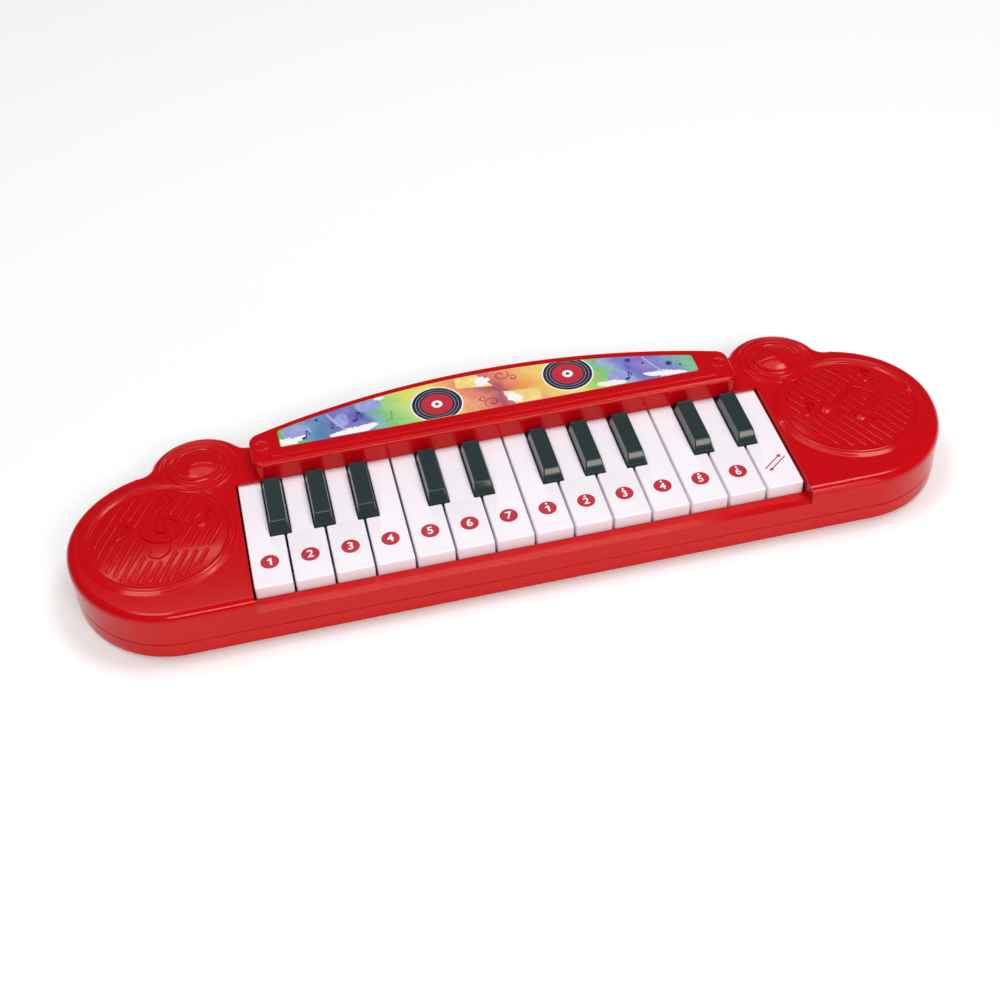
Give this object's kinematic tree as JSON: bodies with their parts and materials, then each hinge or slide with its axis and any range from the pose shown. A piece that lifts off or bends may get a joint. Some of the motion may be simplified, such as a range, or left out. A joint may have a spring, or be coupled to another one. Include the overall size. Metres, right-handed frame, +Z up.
{
  "type": "toy electronic keyboard",
  "caption": "Toy electronic keyboard: red case with rounded ends, hinged white and black keys, raised arched console with a coloured label, speaker, battery box.",
  "frame": {"origin": "middle of the outline on the plane of the rubber feet, under the case", "axes": "+X along the keyboard towards the high notes, +Y towards the back, +Z up"},
  "size_m": [0.41, 0.116, 0.036],
  "materials": {
    "case_red": "glossy injection-moulded red ABS",
    "door_red": "satin injection-moulded red ABS",
    "key_white": "glossy white plastic with red printed discs and numbers",
    "key_black": "high-gloss black plastic",
    "label": "printed laminated sheet with watercolour colours",
    "bar_grey": "matt grey plastic",
    "switch_dark": "matt dark plastic",
    "felt": "dense dark red felt",
    "silicone": "translucent grey silicone rubber",
    "foot_rubber": "matt black rubber",
    "laminate": "brown paper-based circuit laminate",
    "epoxy": "black epoxy blob",
    "steel": "plain zinc-plated steel",
    "magnet": "dark nickel-plated steel",
    "cone": "black pressed paper cone",
    "cell": "green shrink sleeve",
    "wire_blue": "blue wire sleeve",
    "wire_red": "red wire sleeve"
  },
  "bodies": {
    "case": {"upper_case": "case_red", "lower_case": "case_red", "label_panel": "label", "key_hinge_rail": "bar_grey", "key_clamp_bar": "bar_grey", "key_stop_felt": "felt", "rubber_contacts_white": "silicone", "rubber_contacts_black": "silicone", "key_contact_board": "laminate", "main_board": "laminate", "sound_chip": "epoxy", "speaker_frame": "steel", "speaker_magnet": "magnet", "speaker_cone": "cone", "battery_contact_left": "steel", "battery_contact_right": "steel", "power_switch_body": "switch_dark", "speaker_wire": "wire_blue", "battery_wire": "wire_red", "battery_1": "cell", "battery_2": "cell", "battery_3": "cell", "case_screw_1": "steel", "case_screw_2": "steel", "case_screw_3": "steel", "case_screw_4": "steel", "case_screw_5": "steel", "case_screw_6": "steel", "rubber_foot_1": "foot_rubber", "rubber_foot_2": "foot_rubber", "rubber_foot_3": "foot_rubber", "rubber_foot_4": "foot_rubber"},
    "white_01": {"white_key_01": "key_white"},
    "white_02": {"white_key_02": "key_white"},
    "white_03": {"white_key_03": "key_white"},
    "white_04": {"white_key_04": "key_white"},
    "white_05": {"white_key_05": "key_white"},
    "white_06": {"white_key_06": "key_white"},
    "white_07": {"white_key_07": "key_white"},
    "white_08": {"white_key_08": "key_white"},
    "white_09": {"white_key_09": "key_white"},
    "white_10": {"white_key_10": "key_white"},
    "white_11": {"white_key_11": "key_white"},
    "white_12": {"white_key_12": "key_white"},
    "white_13": {"white_key_13": "key_white"},
    "white_14": {"white_key_14": "key_white"},
    "black_01": {"black_key_01": "key_black"},
    "black_02": {"black_key_02": "key_black"},
    "black_03": {"black_key_03": "key_black"},
    "black_04": {"black_key_04": "key_black"},
    "black_05": {"black_key_05": "key_black"},
    "black_06": {"black_key_06": "key_black"},
    "black_07": {"black_key_07": "key_black"},
    "black_08": {"black_key_08": "key_black"},
    "black_09": {"black_key_09": "key_black"},
    "black_10": {"black_key_10": "key_black"},
    "battery_door": {"battery_door": "door_red", "battery_door_screw": "steel"},
    "switch_knob": {"power_switch_knob": "key_black"}
  },
  "joints": [
    {"name": "white_01_hinge", "type": "hinge", "parent": "case", "child": "white_01", "pos_m": [0, 0.027, 0.0155], "axis": [1, 0, 0], "range_deg": [0, 3.5], "stiffness_Nm_per_rad": 0.35, "springref_deg": -2.86},
    {"name": "white_02_hinge", "type": "hinge", "parent": "case", "child": "white_02", "pos_m": [0, 0.027, 0.0155], "axis": [1, 0, 0], "range_deg": [0, 3.5], "stiffness_Nm_per_rad": 0.35, "springref_deg": -2.86},
    {"name": "white_03_hinge", "type": "hinge", "parent": "case", "child": "white_03", "pos_m": [0, 0.027, 0.0155], "axis": [1, 0, 0], "range_deg": [0, 3.5], "stiffness_Nm_per_rad": 0.35, "springref_deg": -2.86},
    {"name": "white_04_hinge", "type": "hinge", "parent": "case", "child": "white_04", "pos_m": [0, 0.027, 0.0155], "axis": [1, 0, 0], "range_deg": [0, 3.5], "stiffness_Nm_per_rad": 0.35, "springref_deg": -2.86},
    {"name": "white_05_hinge", "type": "hinge", "parent": "case", "child": "white_05", "pos_m": [0, 0.027, 0.0155], "axis": [1, 0, 0], "range_deg": [0, 3.5], "stiffness_Nm_per_rad": 0.35, "springref_deg": -2.86},
    {"name": "white_06_hinge", "type": "hinge", "parent": "case", "child": "white_06", "pos_m": [0, 0.027, 0.0155], "axis": [1, 0, 0], "range_deg": [0, 3.5], "stiffness_Nm_per_rad": 0.35, "springref_deg": -2.86},
    {"name": "white_07_hinge", "type": "hinge", "parent": "case", "child": "white_07", "pos_m": [0, 0.027, 0.0155], "axis": [1, 0, 0], "range_deg": [0, 3.5], "stiffness_Nm_per_rad": 0.35, "springref_deg": -2.86},
    {"name": "white_08_hinge", "type": "hinge", "parent": "case", "child": "white_08", "pos_m": [0, 0.027, 0.0155], "axis": [1, 0, 0], "range_deg": [0, 3.5], "stiffness_Nm_per_rad": 0.35, "springref_deg": -2.86},
    {"name": "white_09_hinge", "type": "hinge", "parent": "case", "child": "white_09", "pos_m": [0, 0.027, 0.0155], "axis": [1, 0, 0], "range_deg": [0, 3.5], "stiffness_Nm_per_rad": 0.35, "springref_deg": -2.86},
    {"name": "white_10_hinge", "type": "hinge", "parent": "case", "child": "white_10", "pos_m": [0, 0.027, 0.0155], "axis": [1, 0, 0], "range_deg": [0, 3.5], "stiffness_Nm_per_rad": 0.35, "springref_deg": -2.86},
    {"name": "white_11_hinge", "type": "hinge", "parent": "case", "child": "white_11", "pos_m": [0, 0.027, 0.0155], "axis": [1, 0, 0], "range_deg": [0, 3.5], "stiffness_Nm_per_rad": 0.35, "springref_deg": -2.86},
    {"name": "white_12_hinge", "type": "hinge", "parent": "case", "child": "white_12", "pos_m": [0, 0.027, 0.0155], "axis": [1, 0, 0], "range_deg": [0, 3.5], "stiffness_Nm_per_rad": 0.35, "springref_deg": -2.86},
    {"name": "white_13_hinge", "type": "hinge", "parent": "case", "child": "white_13", "pos_m": [0, 0.027, 0.0155], "axis": [1, 0, 0], "range_deg": [0, 3.5], "stiffness_Nm_per_rad": 0.35, "springref_deg": -2.86},
    {"name": "white_14_hinge", "type": "hinge", "parent": "case", "child": "white_14", "pos_m": [0, 0.027, 0.0155], "axis": [1, 0, 0], "range_deg": [0, 3.5], "stiffness_Nm_per_rad": 0.35, "springref_deg": -2.86},
    {"name": "black_01_hinge", "type": "hinge", "parent": "case", "child": "black_01", "pos_m": [0, 0.027, 0.0155], "axis": [1, 0, 0], "range_deg": [0, 3.5], "stiffness_Nm_per_rad": 0.35, "springref_deg": -2.86},
    {"name": "black_02_hinge", "type": "hinge", "parent": "case", "child": "black_02", "pos_m": [0, 0.027, 0.0155], "axis": [1, 0, 0], "range_deg": [0, 3.5], "stiffness_Nm_per_rad": 0.35, "springref_deg": -2.86},
    {"name": "black_03_hinge", "type": "hinge", "parent": "case", "child": "black_03", "pos_m": [0, 0.027, 0.0155], "axis": [1, 0, 0], "range_deg": [0, 3.5], "stiffness_Nm_per_rad": 0.35, "springref_deg": -2.86},
    {"name": "black_04_hinge", "type": "hinge", "parent": "case", "child": "black_04", "pos_m": [0, 0.027, 0.0155], "axis": [1, 0, 0], "range_deg": [0, 3.5], "stiffness_Nm_per_rad": 0.35, "springref_deg": -2.86},
    {"name": "black_05_hinge", "type": "hinge", "parent": "case", "child": "black_05", "pos_m": [0, 0.027, 0.0155], "axis": [1, 0, 0], "range_deg": [0, 3.5], "stiffness_Nm_per_rad": 0.35, "springref_deg": -2.86},
    {"name": "black_06_hinge", "type": "hinge", "parent": "case", "child": "black_06", "pos_m": [0, 0.027, 0.0155], "axis": [1, 0, 0], "range_deg": [0, 3.5], "stiffness_Nm_per_rad": 0.35, "springref_deg": -2.86},
    {"name": "black_07_hinge", "type": "hinge", "parent": "case", "child": "black_07", "pos_m": [0, 0.027, 0.0155], "axis": [1, 0, 0], "range_deg": [0, 3.5], "stiffness_Nm_per_rad": 0.35, "springref_deg": -2.86},
    {"name": "black_08_hinge", "type": "hinge", "parent": "case", "child": "black_08", "pos_m": [0, 0.027, 0.0155], "axis": [1, 0, 0], "range_deg": [0, 3.5], "stiffness_Nm_per_rad": 0.35, "springref_deg": -2.86},
    {"name": "black_09_hinge", "type": "hinge", "parent": "case", "child": "black_09", "pos_m": [0, 0.027, 0.0155], "axis": [1, 0, 0], "range_deg": [0, 3.5], "stiffness_Nm_per_rad": 0.35, "springref_deg": -2.86},
    {"name": "black_10_hinge", "type": "hinge", "parent": "case", "child": "black_10", "pos_m": [0, 0.027, 0.0155], "axis": [1, 0, 0], "range_deg": [0, 3.5], "stiffness_Nm_per_rad": 0.35, "springref_deg": -2.86},
    {"name": "switch_slide", "type": "slide", "parent": "case", "child": "switch_knob", "axis": [1, 0, 0], "range_m": [0, 0.005]},
    {"name": "battery_door_lift_off", "type": "slide", "parent": "case", "child": "battery_door", "axis": [0, 0, -1], "range_m": [0, 0.03]}
  ]
}
